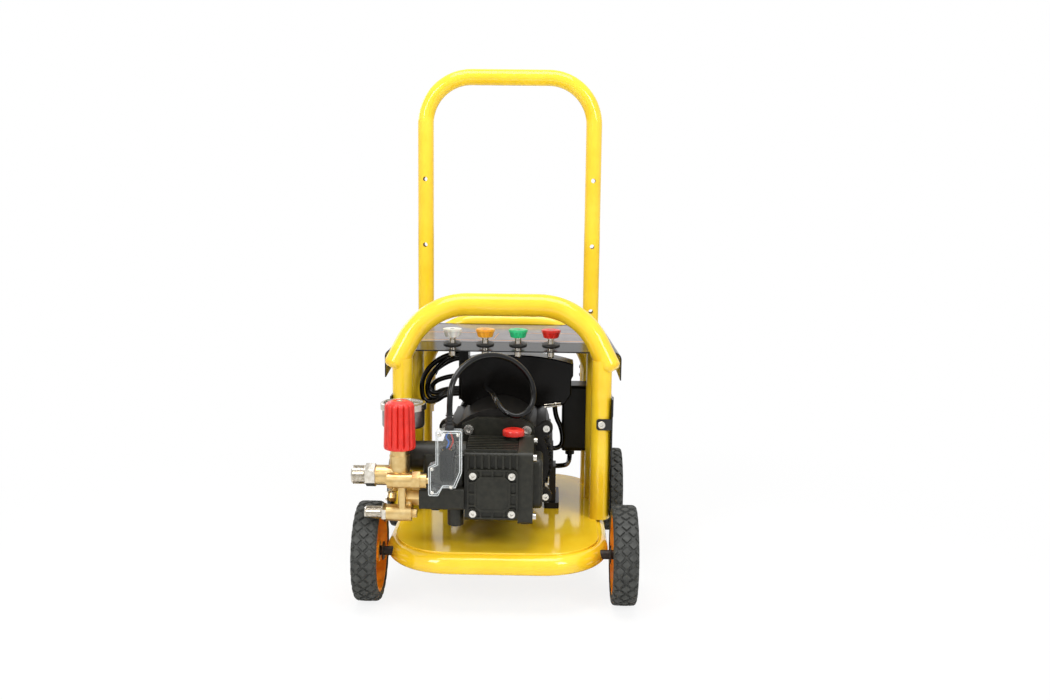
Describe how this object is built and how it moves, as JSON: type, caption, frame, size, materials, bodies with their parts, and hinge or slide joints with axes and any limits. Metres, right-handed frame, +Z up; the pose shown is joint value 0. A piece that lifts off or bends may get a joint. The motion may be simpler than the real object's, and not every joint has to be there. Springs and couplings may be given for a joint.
{
  "type": "pressure washer",
  "caption": "Electric pressure washer on a four-wheeled tubular trolley, with a finned belt-free pump, brass manifold, gauge, spray-tip panel and sliding handle.",
  "frame": {"origin": "on the floor, midway between the two axles, on the trolley's centre plane", "axes": "+X the machine's right seen from the pump side, -Y the pump side (front), +Z up"},
  "size_m": [0.428, 0.52, 0.825],
  "materials": {
    "frame_yellow": "gloss powder coat",
    "panel_black": "semi-gloss powder coat",
    "housing_black": "satin moulded plastic",
    "motor_black": "semi-gloss paint on cast aluminium",
    "pump_black": "black anodised and painted die casting",
    "steel": "zinc-plated steel",
    "chrome": "polished plate",
    "brass": "machined brass",
    "knob_red": "gloss moulded plastic",
    "needle_red": "painted pointer",
    "lens": "clear window",
    "clear_shell": "clear moulded polycarbonate",
    "hub_orange": "moulded plastic",
    "tyre": "moulded rubber",
    "rubber_black": "matt flexible sheath",
    "tip_white": "moulded plastic",
    "tip_yellow": "moulded plastic",
    "tip_green": "moulded plastic",
    "tip_red": "moulded plastic"
  },
  "bodies": {
    "trolley": {"axle_nuts": "steel", "axle_washers": "steel", "axles": "steel", "base_loop": "frame_yellow", "base_plate": "frame_yellow", "capacitor_cover": "housing_black", "control_box": "housing_black", "control_leads": "rubber_black", "cover_latch": "chrome", "crankcase_cover": "pump_black", "frame_bolts": "steel", "front_hoop": "frame_yellow", "front_post_left": "frame_yellow", "front_post_right": "frame_yellow", "gauge_bezel": "chrome", "gauge_case": "chrome", "gauge_lens": "lens", "handle_sleeves": "frame_yellow", "manifold": "brass", "manifold_fittings": "brass", "mid_post_left": "frame_yellow", "mid_post_right": "frame_yellow", "motor_cowl": "housing_black", "motor_housing": "motor_black", "motor_leads": "rubber_black", "motor_screws": "steel", "pump_crankcase": "pump_black", "pump_head": "pump_black", "pump_screws": "steel", "pump_side_cover": "pump_black", "rear_arch": "frame_yellow", "side_plate_left": "panel_black", "side_plate_right": "panel_black", "switch_body": "housing_black", "switch_gland": "housing_black", "switch_housing": "clear_shell", "switch_lead": "rubber_black", "tip_grommets": "rubber_black", "top_panel": "panel_black"},
    "wheel_front_left": {"tyre_front_left": "tyre", "hub_front_left": "hub_orange"},
    "wheel_rear_left": {"tyre_rear_left": "tyre", "hub_rear_left": "hub_orange"},
    "wheel_front_right": {"tyre_front_right": "tyre", "hub_front_right": "hub_orange"},
    "wheel_rear_right": {"tyre_rear_right": "tyre", "hub_rear_right": "hub_orange"},
    "handle": {"handle_bar": "frame_yellow"},
    "left_clamp": {"clamp_knob_left": "housing_black"},
    "right_clamp": {"clamp_knob_right": "housing_black"},
    "white_tip": {"tip_white": "tip_white"},
    "yellow_tip": {"tip_yellow": "tip_yellow"},
    "green_tip": {"tip_green": "tip_green"},
    "red_tip": {"tip_red": "tip_red"},
    "unloader": {"unloader_knob": "knob_red"},
    "filler_cap": {"oil_cap": "knob_red"},
    "pointer": {"gauge_needle": "needle_red"},
    "switch": {"power_switch": "housing_black"},
    "rotor": {"motor_rotor": "steel", "motor_fan": "housing_black"}
  },
  "joints": [
    {"name": "wheel_front_left_spin", "type": "hinge", "parent": "trolley", "child": "wheel_front_left", "pos_m": [0, -0.185, 0.075], "axis": [1, 0, 0], "continuous": true},
    {"name": "wheel_rear_left_spin", "type": "hinge", "parent": "trolley", "child": "wheel_rear_left", "pos_m": [0, 0.185, 0.075], "axis": [1, 0, 0], "continuous": true},
    {"name": "wheel_front_right_spin", "type": "hinge", "parent": "trolley", "child": "wheel_front_right", "pos_m": [0, -0.185, 0.075], "axis": [1, 0, 0], "continuous": true},
    {"name": "wheel_rear_right_spin", "type": "hinge", "parent": "trolley", "child": "wheel_rear_right", "pos_m": [0, 0.185, 0.075], "axis": [1, 0, 0], "continuous": true},
    {"name": "handle_height", "type": "slide", "parent": "trolley", "child": "handle", "axis": [0, 0, 1], "range_m": [-0.116, 0]},
    {"name": "left_clamp_turn", "type": "hinge", "parent": "trolley", "child": "left_clamp", "pos_m": [-0.1488, 0.218, 0.285], "axis": [0, 1, 0], "range_deg": [-360, 0]},
    {"name": "right_clamp_turn", "type": "hinge", "parent": "trolley", "child": "right_clamp", "pos_m": [0.1488, 0.218, 0.285], "axis": [0, 1, 0], "range_deg": [-360, 0]},
    {"name": "white_tip_lift", "type": "slide", "parent": "trolley", "child": "white_tip", "axis": [0, 0, 1], "range_m": [0, 0.06]},
    {"name": "yellow_tip_lift", "type": "slide", "parent": "trolley", "child": "yellow_tip", "axis": [0, 0, 1], "range_m": [0, 0.06]},
    {"name": "green_tip_lift", "type": "slide", "parent": "trolley", "child": "green_tip", "axis": [0, 0, 1], "range_m": [0, 0.06]},
    {"name": "red_tip_lift", "type": "slide", "parent": "trolley", "child": "red_tip", "axis": [0, 0, 1], "range_m": [0, 0.06]},
    {"name": "unloader_turn", "type": "hinge", "parent": "trolley", "child": "unloader", "pos_m": [-0.1395, -0.234, 0.28], "axis": [0, 0, 1], "range_deg": [-720, 720]},
    {"name": "filler_cap_unscrew", "type": "hinge", "parent": "trolley", "child": "filler_cap", "pos_m": [0.023, -0.16, 0.25], "axis": [0, 0, 1], "range_deg": [0, 540]},
    {"name": "pointer_swing", "type": "hinge", "parent": "trolley", "child": "pointer", "pos_m": [-0.1425, -0.168, 0.29], "axis": [0, 0, 1], "range_deg": [-270, 0]},
    {"name": "power_switch_turn", "type": "hinge", "parent": "trolley", "child": "switch", "pos_m": [0.173, 0.122, 0.24], "axis": [1, 0, 0], "range_deg": [-90, 0]},
    {"name": "rotor_spin", "type": "hinge", "parent": "trolley", "child": "rotor", "pos_m": [-0.0055, 0, 0.199], "axis": [0, 1, 0], "continuous": true}
  ]
}
